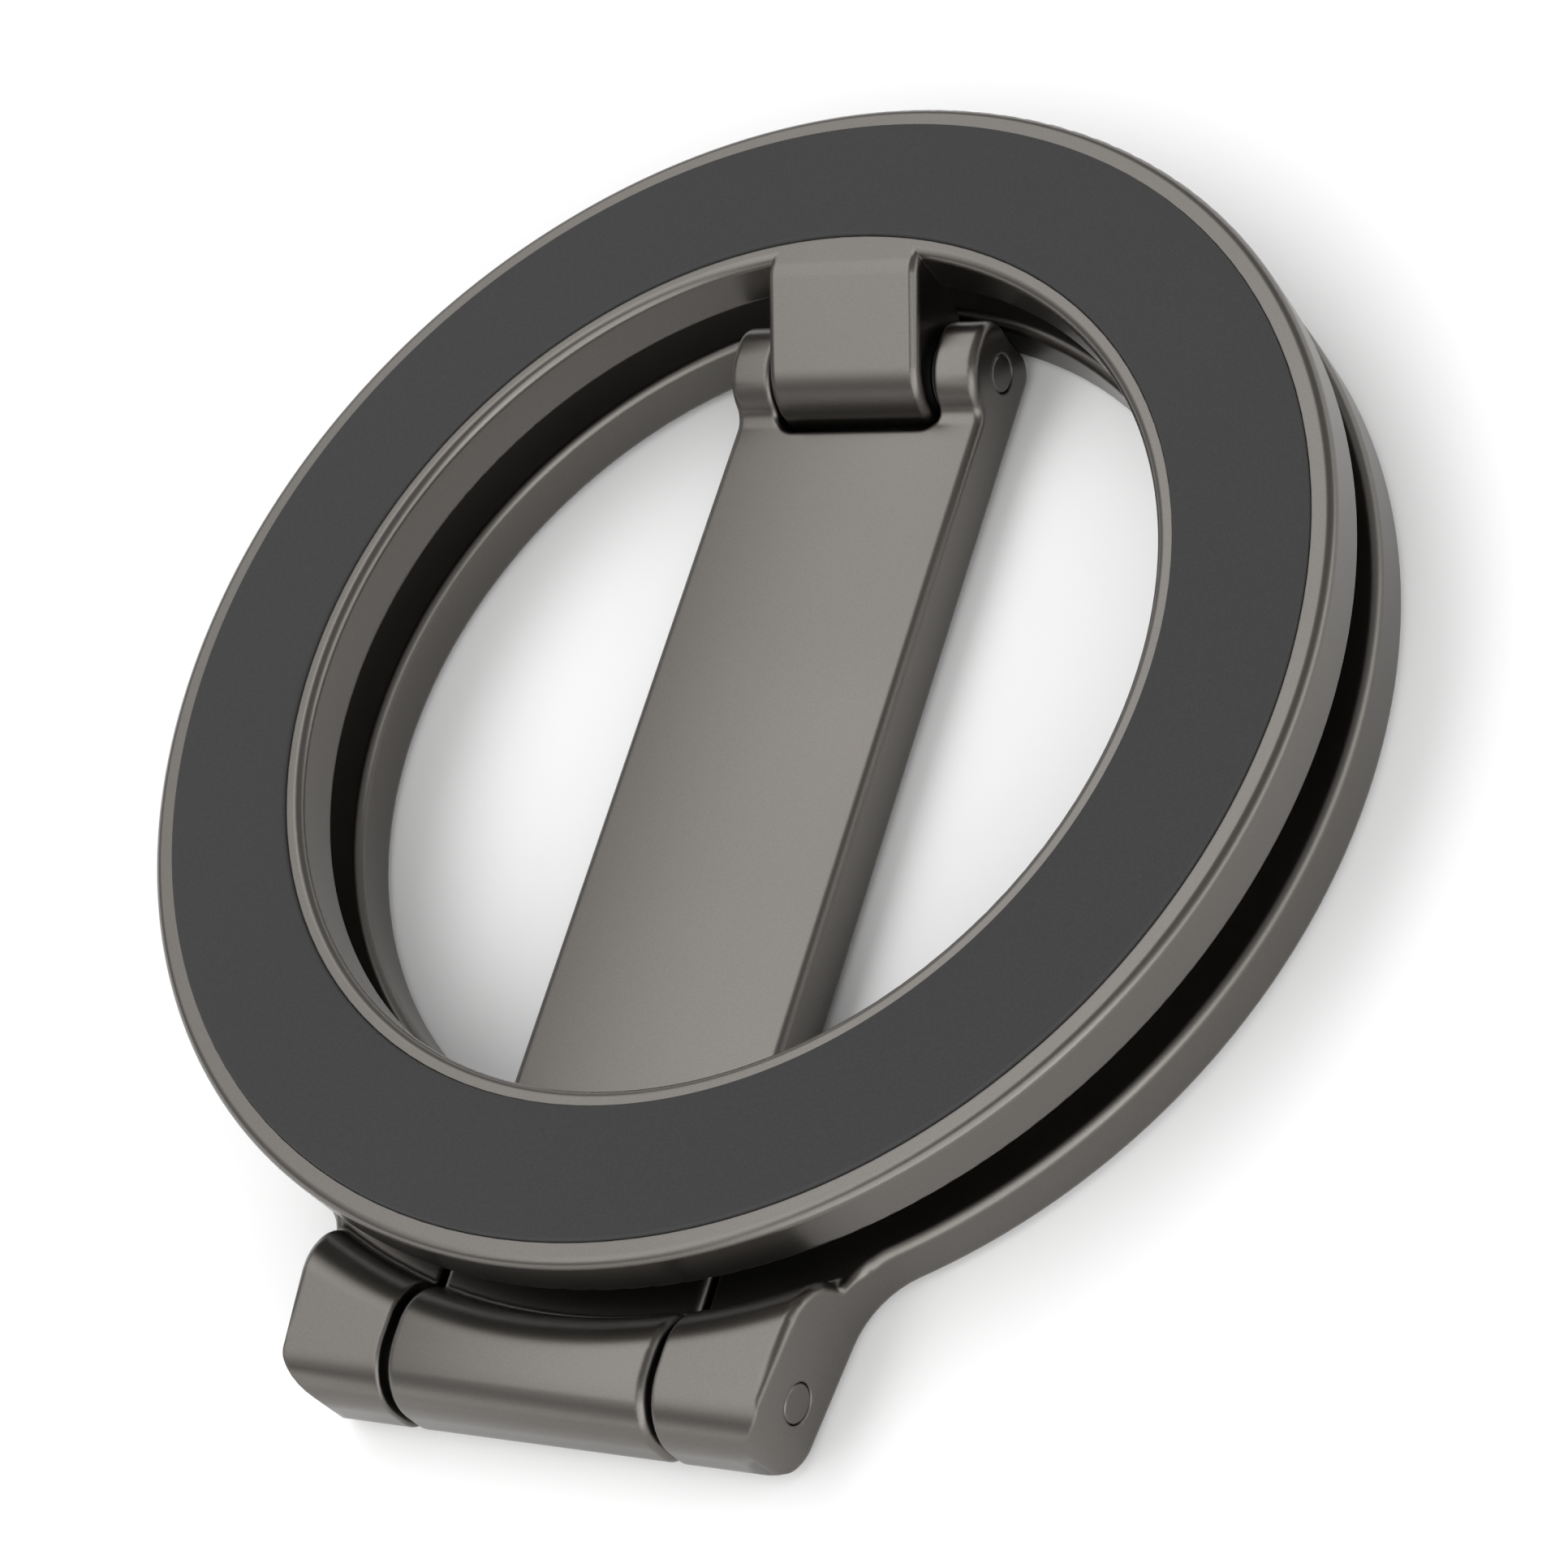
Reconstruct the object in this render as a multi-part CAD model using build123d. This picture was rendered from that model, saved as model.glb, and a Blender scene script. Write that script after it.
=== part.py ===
from build123d import *
from math import asin, atan2, cos, radians, sin, sqrt, tan
import os

# Folding magnetic ring holder for a phone: a magnetic head ring and a base ring,
# joined by one flat arm with a friction hinge at each end, shown folded flat.
# X runs along both hinge pins, Y from the lower hinge to the upper one, Z up out of the pad.
# The shapes are drawn round the axis of the rings, and moved at the end so that the
# origin is at the middle of the underside.

# The two rings
ring_radius = 29.0
ring_width = 8.0
ring_thickness = 2.75
ring_gap = 2.25
edge_round = 0.45

# Soft pad on the head, and what lies under it
pad_rim_outer = 1.05
pad_rim_inner = 0.8
pad_thickness = 0.7
pad_proud = 0.2
pad_play = 0.03
pad_edge_round = 0.08
film_thickness = 0.1
magnet_width = 4.0
magnet_thickness = 1.0
magnet_count = 16
magnet_spacing = 0.12
yoke_thickness = 0.4
channel_play = 0.1

# Soft foot under the base
foot_thickness = 0.6
foot_proud = 0.25
foot_rim = 1.2
foot_end_margin = 1.6

# Pins, and the sleeves and washers that give the hinges their friction
pin_diameter = 1.8
pin_height = 2.4
pin_play = 0.02
pin_chamfer = 0.12
sleeve_wall = 0.3
sleeve_slit = 0.4
sleeve_split = 0.1
washer_radius = 1.9
washer_play = 0.05

# Lower hinge: two outer knuckles on the base and one on the arm
lower_pin_out = 2.6
knuckle_rise = 2.65
knuckle_end = 2.75
knuckle_half_width = 12.25
knuckle_taper = 7.0
knuckle_foot_out = 0.28
knuckle_foot_round = 0.26
knuckle_crown_round = 2.4
knuckle_top_round = 2.6
knuckle_bottom_round = 1.5
knuckle_corner_round = 1.9
flare_radius = 4.4
hinge_gap = 0.35
notch_round = 0.12
joint_round = 0.28

# Arm
arm_width = 13.2
arm_thickness = 2.75
arm_lift = 0.1
arm_edge_round = 0.42

# Upper hinge: two ears on the arm and one tab on the head
upper_pin_in = 3.3
ear_radius = 2.45
ear_top = 1.9
ear_top_round = 1.4
ear_back_round = 1.2
ear_root_round = 0.8
tab_width = 8.0
slot_depth = 3.1
slot_corner_round = 1.0
tab_radius = 2.4
tab_front = 2.75
tab_slope = 33.0
tab_shoulder_round = 3.0
tab_crease_in = 0.9
tab_crease_round = 1.3
tab_seat = 0.5

# Levels and places that follow
ring_inner_radius = ring_radius - ring_width
base_low = foot_proud
base_top = base_low + ring_thickness
head_low = base_top + ring_gap
head_top = head_low + ring_thickness
pin_level = base_low + pin_height
lower_pin_y = -(ring_radius + lower_pin_out)
upper_pin_y = ring_inner_radius - upper_pin_in
hinge_end_y = lower_pin_y - knuckle_end
knuckle_top = pin_level + knuckle_rise
arm_low = base_low + arm_lift
arm_top = arm_low + arm_thickness
arm_half = arm_width / 2
notch_half = arm_half + hinge_gap
tab_half = tab_width / 2
slot_half = tab_half + hinge_gap
ear_end_y = upper_pin_y + ear_top
slot_end_y = upper_pin_y - slot_depth
pin_radius = pin_diameter / 2
sleeve_radius = pin_radius + pin_play + sleeve_wall
pad_outer_radius = ring_radius - pad_rim_outer
pad_inner_radius = ring_inner_radius + pad_rim_inner
pad_floor = head_top + pad_proud - pad_thickness - film_thickness
channel_floor = pad_floor - magnet_thickness - yoke_thickness
magnet_inner_radius = ring_radius - (ring_width + magnet_width) / 2
magnet_outer_radius = magnet_inner_radius + magnet_width
foot_outer_radius = ring_radius - foot_rim
foot_inner_radius = ring_inner_radius + foot_rim
foot_ceiling = foot_thickness + film_thickness
far = 2 * ring_radius
near = 0.001


def ring_solid(inner, outer, low, high):
    """Flat ring about the axis of the rings."""
    return Pos(0, 0, low) * extrude(Circle(outer) - Circle(inner), high - low)


def bar_along_x(radius, x_from, x_to, y):
    """Round bar parallel to the hinge pins, at their level."""
    end = Plane(origin=(x_from, y, pin_level), z_dir=(1, 0, 0)) * Circle(radius)
    return extrude(end, x_to - x_from)


def slab_across(outline, half):
    """Side outline, drawn in Y and Z, made into a slab centred on X = 0."""
    return extrude(Plane.YZ * outline, half, both=True)


def span(y_from, y_to, low, high):
    """Upright rectangle in Y and Z."""
    return Polygon((y_from, low), (y_to, low), (y_to, high), (y_from, high), align=None)


def corner(outline, y, z):
    """The vertex of a flat outline at the given place."""
    return outline.vertices().sort_by_distance((y, z, 0))[0]


def hinge_plan():
    """The base seen from above: a disc that flares into the lower hinge."""
    slope = tan(radians(knuckle_taper))
    inside_y = -ring_inner_radius
    wide = knuckle_half_width + slope * (inside_y - lower_pin_y)
    narrow = knuckle_half_width + slope * (hinge_end_y - lower_pin_y)
    block = Polygon(
        (-wide, inside_y), (-narrow, hinge_end_y), (narrow, hinge_end_y), (wide, inside_y),
        align=None,
    )
    plan = Circle(ring_radius) + block
    ends = [corner(plan, side * narrow, hinge_end_y) for side in (-1, 1)]
    plan = fillet(ends, knuckle_corner_round)
    on_rim = plan.vertices().filter_by(lambda v: abs(sqrt(v.X**2 + v.Y**2) - ring_radius) < near)
    return fillet(on_rim.group_by(Axis.Y)[0], flare_radius)


def crown(floor):
    """Space outside the knuckles' rounded inner side, which follows the rim of the head."""
    foot = ring_radius + knuckle_foot_out
    outline = span(foot, far, base_low, knuckle_top)
    outline = fillet(corner(outline, foot, knuckle_top), knuckle_crown_round)
    outline += span(foot - knuckle_foot_round, far, base_low, floor)
    outline = fillet(corner(outline, foot, floor), knuckle_foot_round)
    return revolve(Plane.XZ * outline, Axis.Z)


def hinge_end():
    """Space inside the rounded outer end of the knuckles."""
    outline = span(hinge_end_y, far, base_low, knuckle_top)
    outline = fillet(corner(outline, hinge_end_y, base_low), knuckle_bottom_round)
    outline = fillet(corner(outline, hinge_end_y, knuckle_top), knuckle_top_round)
    return slab_across(outline, far)


def outer_edges(solid, low):
    """Edges along the outside of the base: those of its top or its underside."""
    chosen = []
    for edge in solid.edges():
        box = edge.bounding_box()
        reach = max(sqrt(v.X**2 + v.Y**2) for v in edge.vertices())
        across = abs(edge.center().X) < near and box.max.Y < 0
        inner_line = across and box.max.Y > hinge_end_y + near
        if low:
            wanted = box.max.Z < base_low + near
        else:
            wanted = box.min.Z > base_top - near and not inner_line
        if wanted and reach > ring_radius - near:
            chosen.append(edge)
    return chosen


def base_ring():
    """Ring with the two outer knuckles, open where the arm lies between them."""
    plan = hinge_plan()
    plate = Pos(0, 0, base_low) * extrude(plan, ring_thickness)
    lower_part = Pos(0, -far / 2 - ring_inner_radius, 0) * Rectangle(far, far)
    block = Pos(0, 0, base_low) * extrude(plan & lower_part, knuckle_top - base_low)
    body = plate + (block & crown(base_top))
    body = fillet(outer_edges(body, low=False), edge_round)
    body = fillet(outer_edges(body, low=True), edge_round)
    body = body & hinge_end()
    body -= Pos(0, 0, base_low) * extrude(Circle(ring_inner_radius), knuckle_top)
    body = fillet(body.edges().filter_by(lambda e: on_rim(e, ring_inner_radius)), edge_round)
    body -= Pos(0, -far / 2, 0) * Box(2 * notch_half, far, far)
    faces = body.faces().filter_by(Axis.X)
    faces = faces.filter_by(lambda f: abs(abs(f.center().X) - notch_half) < near)
    body = fillet([edge for face in faces for edge in face.edges()], notch_round)
    body -= bar_along_x(pin_radius, -far, far, lower_pin_y)
    return body - foot_shape(foot_ceiling - base_low, base_low, 0)


def foot_shape(height, low, margin):
    """Open ring of the soft foot, ending short of the notch for the arm."""
    ring = ring_solid(foot_inner_radius + margin, foot_outer_radius - margin, low, low + height)
    opening = 2 * (notch_half + foot_end_margin + margin)
    return ring - Pos(0, -far / 2, 0) * Box(opening, far, far)


def arm_side():
    """Side outline of the arm: its strip, and the raised barrels of the ears."""
    strip = span(hinge_end_y, upper_pin_y, arm_low, arm_top)
    head_end = span(upper_pin_y, ear_end_y, arm_low, pin_level + ear_radius)
    head_end = fillet(corner(head_end, ear_end_y, arm_low), ear_back_round)
    head_end = fillet(corner(head_end, ear_end_y, pin_level + ear_radius), ear_top_round)
    barrel = Pos(upper_pin_y, pin_level) * Circle(ear_radius)
    barrel = barrel & span(slot_end_y - far, upper_pin_y, arm_low, far)
    outline = strip + head_end + barrel
    root_rise = arm_top - pin_level
    root_y = upper_pin_y - sqrt(ear_radius**2 - root_rise**2)
    return fillet(corner(outline, root_y, arm_top), ear_root_round)


def arm():
    """Flat arm with the middle knuckle at its lower end and two ears at its upper end."""
    body = slab_across(arm_side(), arm_half)
    lower_part = Pos(0, -far / 2 - ring_inner_radius, base_low) * Rectangle(arm_width, far)
    body += extrude(lower_part, knuckle_top - base_low) & crown(arm_top)
    body = body & (hinge_end() + Pos(0, far / 2, 0) * Box(far, far, far))
    sides = body.faces().filter_by(Axis.X)
    body = fillet([edge for face in sides for edge in face.edges()], arm_edge_round)
    slot_plan = Pos(0, slot_end_y + far / 2) * Rectangle(2 * slot_half, far)
    slot_ends = slot_plan.vertices().group_by(Axis.Y)[0]
    slot = extrude(fillet(slot_ends, slot_corner_round), far, both=True)
    body -= slot
    rims = [edge for face in body.faces() for edge in face.edges() if on_slot(edge)]
    body = fillet(rims, joint_round)
    body -= bar_along_x(sleeve_radius, -far, far, lower_pin_y)
    return body - bar_along_x(pin_radius, -far, far, upper_pin_y)


def on_slot(edge):
    """Whether an edge runs round the slot between the ears, not down its corners."""
    box = edge.bounding_box()
    inside = box.max.X < slot_half + near and box.min.X > -slot_half - near
    return inside and box.min.Y > slot_end_y - near and not upright(edge)


def upright(edge):
    """Whether an edge is a straight line along Z."""
    return edge.geom_type == GeomType.LINE and abs(edge.tangent_at(0).Z) > 1 - near


def tangent_point(start, centre, radius, side):
    """Where the line from start touches a circle, on its left (1) or its right (-1)."""
    to_centre = centre - start
    length = sqrt(to_centre.length**2 - radius**2)
    bearing = atan2(to_centre.Y, to_centre.X) + side * asin(radius / to_centre.length)
    return start + Vector(cos(bearing), sin(bearing)) * length


def tab_side():
    """Side outline of the tab: level with the rim, then sloping to a barrel round the pin."""
    front_y = upper_pin_y - tab_front
    barrel = Vector(front_y + tab_radius, pin_level)
    crease = Vector(ring_inner_radius - tab_crease_in, head_top)
    shoulder = Vector(front_y, head_top - tan(radians(tab_slope)) * (crease.X - front_y))
    heel = Vector(ring_inner_radius + tab_seat, head_low)
    rear = tangent_point(heel, barrel, tab_radius, 1)
    points = [(heel.X, head_top), (crease.X, head_top), (front_y, shoulder.Y), (front_y, pin_level)]
    points += [(p.X, p.Y) for p in (barrel, rear, heel)]
    outline = Polygon(*points, align=None) + Pos(barrel.X, barrel.Y) * Circle(tab_radius)
    outline = fillet(corner(outline, crease.X, crease.Y), tab_crease_round)
    return fillet(corner(outline, shoulder.X, shoulder.Y), tab_shoulder_round)


def on_rim(edge, radius):
    """Whether an edge is one of a ring's circular rims."""
    return edge.geom_type == GeomType.CIRCLE and abs(edge.radius - radius) < near


def beside_tab(edge):
    """Whether an edge runs along the tab's sides, clear of the ring's underside."""
    on_side = all(abs(abs(v.X) - tab_half) < near for v in edge.vertices())
    lengthwise = abs(abs(edge.center().X) - tab_half) < near
    return on_side and lengthwise and not upright(edge) and edge.bounding_box().size.Z > near


def head_ring():
    """Ring that holds the magnets under its pad, with the hinge tab on its inner wall."""
    body = ring_solid(ring_inner_radius, ring_radius, head_low, head_top)
    body += slab_across(tab_side(), tab_half)
    rims = body.edges().filter_by(lambda e: on_rim(e, ring_inner_radius))
    body = fillet([rims.sort_by(Axis.Z)[-1]] + body.edges().filter_by(beside_tab), edge_round)
    rear = body.edges().filter_by(lambda e: on_rim(e, ring_inner_radius)).sort_by(Axis.Z)[0]
    body = fillet(rear, edge_round)
    body = fillet(body.edges().filter_by(lambda e: on_rim(e, ring_radius)), edge_round)
    body -= ring_solid(pad_inner_radius, pad_outer_radius, pad_floor, far)
    body -= ring_solid(
        magnet_inner_radius - channel_play, magnet_outer_radius + channel_play, channel_floor, far
    )
    return body - bar_along_x(sleeve_radius, -far, far, upper_pin_y)


def head_pad():
    """Soft pad that the phone rests on, a little proud of its rim."""
    inner, outer = pad_inner_radius + pad_play, pad_outer_radius - pad_play
    pad = ring_solid(inner, outer, pad_floor + film_thickness, head_top + pad_proud)
    top = pad.edges().group_by(Axis.Z)[-1]
    return fillet(top, pad_edge_round)


def head_film():
    """Double-sided film that bonds the pad to the shelf of its recess and to the magnets."""
    inner, outer = pad_inner_radius + 2 * pad_play, pad_outer_radius - 2 * pad_play
    return ring_solid(inner, outer, pad_floor, pad_floor + film_thickness)


def yoke_ring():
    """Steel ring under the magnets, which turns their pull towards the phone."""
    return ring_solid(
        magnet_inner_radius, magnet_outer_radius, channel_floor, channel_floor + yoke_thickness
    )


def magnet(number):
    """One arc of the magnet ring, counted round from the X axis."""
    step = 360 / magnet_count
    low = channel_floor + yoke_thickness
    whole = ring_solid(magnet_inner_radius, magnet_outer_radius, low, low + magnet_thickness)
    wedge = Polygon(
        (0, 0), (far, 0), (far * cos(radians(step)), far * sin(radians(step))), align=None
    )
    wedge = offset(wedge, -magnet_spacing / 2, kind=Kind.INTERSECTION)
    arc = whole & (Pos(0, 0, low) * extrude(wedge, magnet_thickness))
    return Rot(0, 0, step * number) * arc


def base_foot():
    """Soft foot let into the underside of the base, open like the ring that carries it."""
    foot = foot_shape(foot_thickness, 0, pad_play)
    return fillet(foot.edges().group_by(Axis.Z)[0], pad_edge_round)


def base_film():
    """Double-sided film that bonds the foot into its recess."""
    return foot_shape(film_thickness, foot_thickness, 2 * pad_play)


def lower_pin():
    """Steel pin pressed through the outer knuckles, its ends flush with their sides."""
    bar = bar_along_x(pin_radius, -far, far, lower_pin_y)
    sides = Pos(0, 0, -far / 2) * extrude(hinge_plan(), far)
    return with_chamfered_ends(bar & sides)


def upper_pin():
    """Steel pin pressed through the ears, its ends flush with their sides."""
    return with_chamfered_ends(bar_along_x(pin_radius, -arm_half, arm_half, upper_pin_y))


def with_chamfered_ends(pin):
    """A pin with a narrow chamfer round each end, a fine groove in the side around it."""
    faces = pin.faces().sort_by(Axis.X)
    return chamfer(faces[0].edges() + faces[-1].edges(), pin_chamfer)


def sleeve(side, width, y):
    """Slit friction sleeve round a pin, filling half of the knuckle that turns on it."""
    low, high = sorted((side * sleeve_split, side * width / 2))
    tube = bar_along_x(sleeve_radius, low, high, y) - bar_along_x(pin_radius + pin_play, low, high, y)
    slit = Pos((low + high) / 2, y, pin_level + sleeve_radius) * Box(far, sleeve_slit, 2 * sleeve_radius)
    return tube - slit


def washer(side, half, y):
    """Thin washer in the gap beside a knuckle."""
    low, high = sorted((side * (half + washer_play), side * (half + hinge_gap - washer_play)))
    return bar_along_x(washer_radius, low, high, y) - bar_along_x(pin_radius + pin_play, low, high, y)


def build_parts():
    """All the pieces by name."""
    parts = {
        "base_ring": base_ring(),
        "base_film": base_film(),
        "base_foot": base_foot(),
        "lower_pin": lower_pin(),
        "arm": arm(),
        "upper_pin": upper_pin(),
        "head_ring": head_ring(),
        "head_yoke_ring": yoke_ring(),
        "head_film": head_film(),
        "head_pad": head_pad(),
    }
    for side, word in ((-1, "left"), (1, "right")):
        parts[f"lower_sleeve_{word}"] = sleeve(side, arm_width, lower_pin_y)
        parts[f"upper_sleeve_{word}"] = sleeve(side, tab_width, upper_pin_y)
        parts[f"lower_washer_{word}"] = washer(side, arm_half, lower_pin_y)
        parts[f"upper_washer_{word}"] = washer(side, tab_half, upper_pin_y)
    for number in range(magnet_count):
        parts[f"head_magnet_{number + 1:02d}"] = magnet(number)
    return parts


os.makedirs("parts", exist_ok=True)
to_frame = Pos(0, -(ring_radius + hinge_end_y) / 2, 0)
for name, solid in build_parts().items():
    export_step(to_frame * solid, f"parts/{name}.step")
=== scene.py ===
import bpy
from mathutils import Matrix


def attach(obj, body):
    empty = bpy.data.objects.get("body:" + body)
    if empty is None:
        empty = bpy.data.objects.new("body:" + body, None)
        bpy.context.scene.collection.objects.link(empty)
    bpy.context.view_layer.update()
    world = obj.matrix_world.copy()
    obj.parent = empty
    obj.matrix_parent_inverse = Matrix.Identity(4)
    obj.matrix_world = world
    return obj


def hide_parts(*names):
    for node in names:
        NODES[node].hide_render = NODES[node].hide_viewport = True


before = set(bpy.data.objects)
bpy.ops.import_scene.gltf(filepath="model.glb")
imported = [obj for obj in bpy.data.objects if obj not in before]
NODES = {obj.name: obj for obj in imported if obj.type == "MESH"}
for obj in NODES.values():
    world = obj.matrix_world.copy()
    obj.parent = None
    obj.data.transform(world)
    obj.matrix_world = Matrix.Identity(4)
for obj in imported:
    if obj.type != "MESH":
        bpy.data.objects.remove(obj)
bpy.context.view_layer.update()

import math
from functools import reduce
from operator import mul

import bpy
import numpy as np
from mathutils import Matrix, Quaternion, Vector

# Looks of a folding magnetic ring holder for a phone, lying folded flat on its foot.
# Lengths are in metres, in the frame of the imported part: X along both hinge pins,
# Y from the lower hinge to the upper one, Z up out of the pad.

bl_info = {
    "name": "Phone ring holder",
    "version": (1, 0, 0),
    "blender": (4, 5, 0),
    "location": "3D View > Sidebar > Ring Holder",
    "description": "Finishes, soft parts and studio of a folding magnetic ring holder",
    "category": "Object",
}

MM = 0.001

# The two metal rings: their axis, their walls, the underside and top of each, and the
# round along all their rims
RING_AXIS_Y = 2.675 * MM
RING_INNER = 21.0 * MM
RING_OUTER = 29.0 * MM
BASE_LOW = 0.25 * MM
BASE_TOP = 3.0 * MM
HEAD_LOW = 5.25 * MM
HEAD_TOP = 8.0 * MM
RIM_ROUND = 0.45 * MM

# The inner side of the lower hinge, rounded about the same axis: how far out the middle of
# that round lies, its height and its radius
HINGE_OUT = 31.68 * MM
HINGE_LEVEL = 2.9 * MM
HINGE_ROUND = 2.4 * MM

# Every round about the rings' axis: how far out its middle lies, its height and its radius
RIM_LEVELS = (BASE_LOW + RIM_ROUND, BASE_TOP - RIM_ROUND, HEAD_LOW + RIM_ROUND, HEAD_TOP - RIM_ROUND)
ROUNDS = [
    (out, level, RIM_ROUND)
    for out in (RING_INNER + RIM_ROUND, RING_OUTER - RIM_ROUND)
    for level in RIM_LEVELS
]
ROUNDS.append((HINGE_OUT, HINGE_LEVEL, HINGE_ROUND))

# How often the triangles of the rounds are cut finer
TIMES_FINER = 1

# Faces that meet at less than the first angle are one smooth surface; below the second
# they are one plane
SMOOTH_BEND = math.radians(30)
LEVEL_BEND = math.radians(0.3)

# Points nearer than the first are one point, and points nearer to a round than the second
# lie on it
WELD = 0.0001 * MM
ON_ROUND = 0.002 * MM

# Twice the area of the smallest triangle that turning an edge may leave
LEAST_CROSS = 1e-6 * MM**2

# Shapes of the soft pieces: sections round each ring, steps round each corner, and steps
# round the foot's two ends
PAD_SECTIONS = 360
PAD_CORNER_STEPS = 8
FOOT_SECTIONS = 300
FOOT_CORNER_STEPS = 6
FOOT_END_STEPS = 5

# The crown of the arm falls away from its middle to here, on both sides
ARM_HALF_WIDTH = 6.6 * MM

# The grain of the metal and of the soft skins: where most of its values lie, how much it
# darkens and lightens the colour, how deep it is and how strongly it shows
GRAIN_RANGE = (0.3, 0.7)
METAL_SHADES = (0.94, 1.06)
METAL_DEPTH = 0.004 * MM
METAL_STRENGTH = 0.25
SKIN_SHADES = (0.9, 1.1)
SKIN_DEPTH = 0.01 * MM
SKIN_STRENGTH = 0.4

# Broad clouds in the gloss of the metal and of the soft skins, and how much they and the
# grain change it
METAL_CLOUD = 9 * MM
METAL_CLOUD_GLOSS = 0.06
METAL_GRAIN_GLOSS = 0.04
SKIN_CLOUD = 12 * MM
SKIN_CLOUD_GLOSS = 0.05

# Rays that look for the rounded look of an edge
WEAR_RAYS = 6

# Where the studio's lights hang, as directions from the holder. Along its axis each edge
# is dark at the first number and full at the second.
BOX_EDGES = (
    ("x", -0.86, -0.46),
    ("x", -0.1, -0.3),
    ("y", -1.0, -0.4),
    ("y", 0.72, 0.5),
    ("z", 0.46, 0.62),
)
STRIP_EDGES = (("x", 0.64, 0.76), ("z", 0.56, 0.44))
WALL_EDGES = (("z", 0.25, 0.06),)

# The broad light in front: its direction, and how nearly one has to look along it to find
# it dark or full
FRONT_AIM = (0.45, -0.78, 0.44)
FRONT_DARK = 0.78
FRONT_FULL = 0.92

# The floor is this much lighter where it is looked at, straight or in the metal
FLOOR_SEEN = 1.15
SEEN_BY = ("Is Camera Ray", "Is Glossy Ray", "Is Transmission Ray")

# Camera of the photograph: the place it looked at, how far off it stood, how far round
# from the lower hinge and how high up, how it was turned about its own axis, and its lens
CAMERA_AIM = Vector((3.151, -1.667, 4.1)) * MM
CAMERA_DISTANCE = 191.337 * MM
CAMERA_ROUND = math.radians(54.172)
CAMERA_HIGH = math.radians(47.83)
CAMERA_TURN = math.radians(-43.829)
CAMERA_SENSOR_MM = 36.0
CAMERA_LENS_MM = 101.47


def tint(name, description, default):
    """A colour that a user can change."""
    return bpy.props.FloatVectorProperty(
        name=name,
        description=description,
        subtype="COLOR",
        size=3,
        min=0.0,
        max=1.0,
        default=default,
    )


def length(name, description, default, least=0.0):
    """A length that a user can change."""
    return bpy.props.FloatProperty(
        name=name,
        description=description,
        subtype="DISTANCE",
        unit="LENGTH",
        min=least,
        default=default,
    )


def factor(name, description, default):
    """A share from 0 to 1 that a user can change."""
    return bpy.props.FloatProperty(
        name=name,
        description=description,
        subtype="FACTOR",
        min=0.0,
        max=1.0,
        default=default,
    )


def brightness(name, description, default):
    """The strength of a light that a user can change."""
    return bpy.props.FloatProperty(name=name, description=description, min=0.0, default=default)


class HolderFinish(bpy.types.PropertyGroup):
    """Sizes and colours of the holder's visible finishes"""

    metal_colour: tint("Metal colour", "Colour of the satin gunmetal", (0.13, 0.122, 0.113))
    metal_roughness: factor("Metal roughness", "How satin the blasted metal is", 0.3)
    metal_grain: length("Metal grain", "Size of one speck of the metal", 0.07 * MM, 0.01 * MM)
    hinge_wear: length("Hinge wear", "How far the base's and the arm's edges look rounded", 0.22 * MM)
    rim_wear: length("Rim wear", "How far the edges of the head ring look rounded", 0.06 * MM)
    arm_crown: length("Arm crown", "How far the arm's face falls away to its edges", 0.3 * MM)
    pin_colour: tint("Pin colour", "Colour of the hinge pins' ends", (0.115, 0.108, 0.1))
    pad_colour: tint("Pad colour", "Colour of the soft pad", (0.031, 0.031, 0.0313))
    pad_roughness: factor("Pad roughness", "How matte the soft pad is", 0.7)
    pad_grain: length("Pad grain", "Size of one speck of the pad", 0.08 * MM, 0.01 * MM)
    foot_colour: tint("Foot colour", "Colour of the soft foot", (0.03, 0.03, 0.031))
    foot_roughness: factor("Foot roughness", "How matte the soft foot is", 0.6)
    foot_grain: length("Foot grain", "Size of one speck of the foot", 0.12 * MM, 0.01 * MM)


class HolderShape(bpy.types.PropertyGroup):
    """Sizes of the soft pieces' rounded edges"""

    pad_round: length("Pad rounding", "Rounding of the pad's upper edges", 0.12 * MM)
    pad_crown: length("Pad crown", "How far the pad's face falls away to its edges", 0.02 * MM)
    foot_round: length("Foot rounding", "Rounding of the foot's lower edges and ends", 0.1 * MM)
    foot_crown: length("Foot crown", "How far the foot's face falls away to its edges", 0.02 * MM)


class HolderInside(bpy.types.PropertyGroup):
    """Sizes and colours of the finishes inside the holder"""

    grain: length("Inner grain", "Size of one speck of the inner pieces", 0.1 * MM, 0.01 * MM)
    wear: length("Small wear", "How far the edges of pins and inner pieces look rounded", 0.12 * MM)
    steel_colour: tint("Steel colour", "Colour of the sleeves and the yoke", (0.5, 0.5, 0.5))
    steel_roughness: factor("Steel roughness", "How satin the steel is", 0.35)
    magnet_colour: tint("Magnet colour", "Colour of the magnets' plating", (0.7, 0.69, 0.67))
    magnet_roughness: factor("Magnet roughness", "How satin the plating is", 0.2)
    washer_colour: tint("Washer colour", "Colour of the plastic washers", (0.03, 0.03, 0.03))
    washer_roughness: factor("Washer roughness", "How matte the washers are", 0.45)
    film_colour: tint("Film colour", "Colour of the adhesive films", (0.75, 0.75, 0.72))
    film_roughness: factor("Film roughness", "How matte the films are", 0.5)


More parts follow.
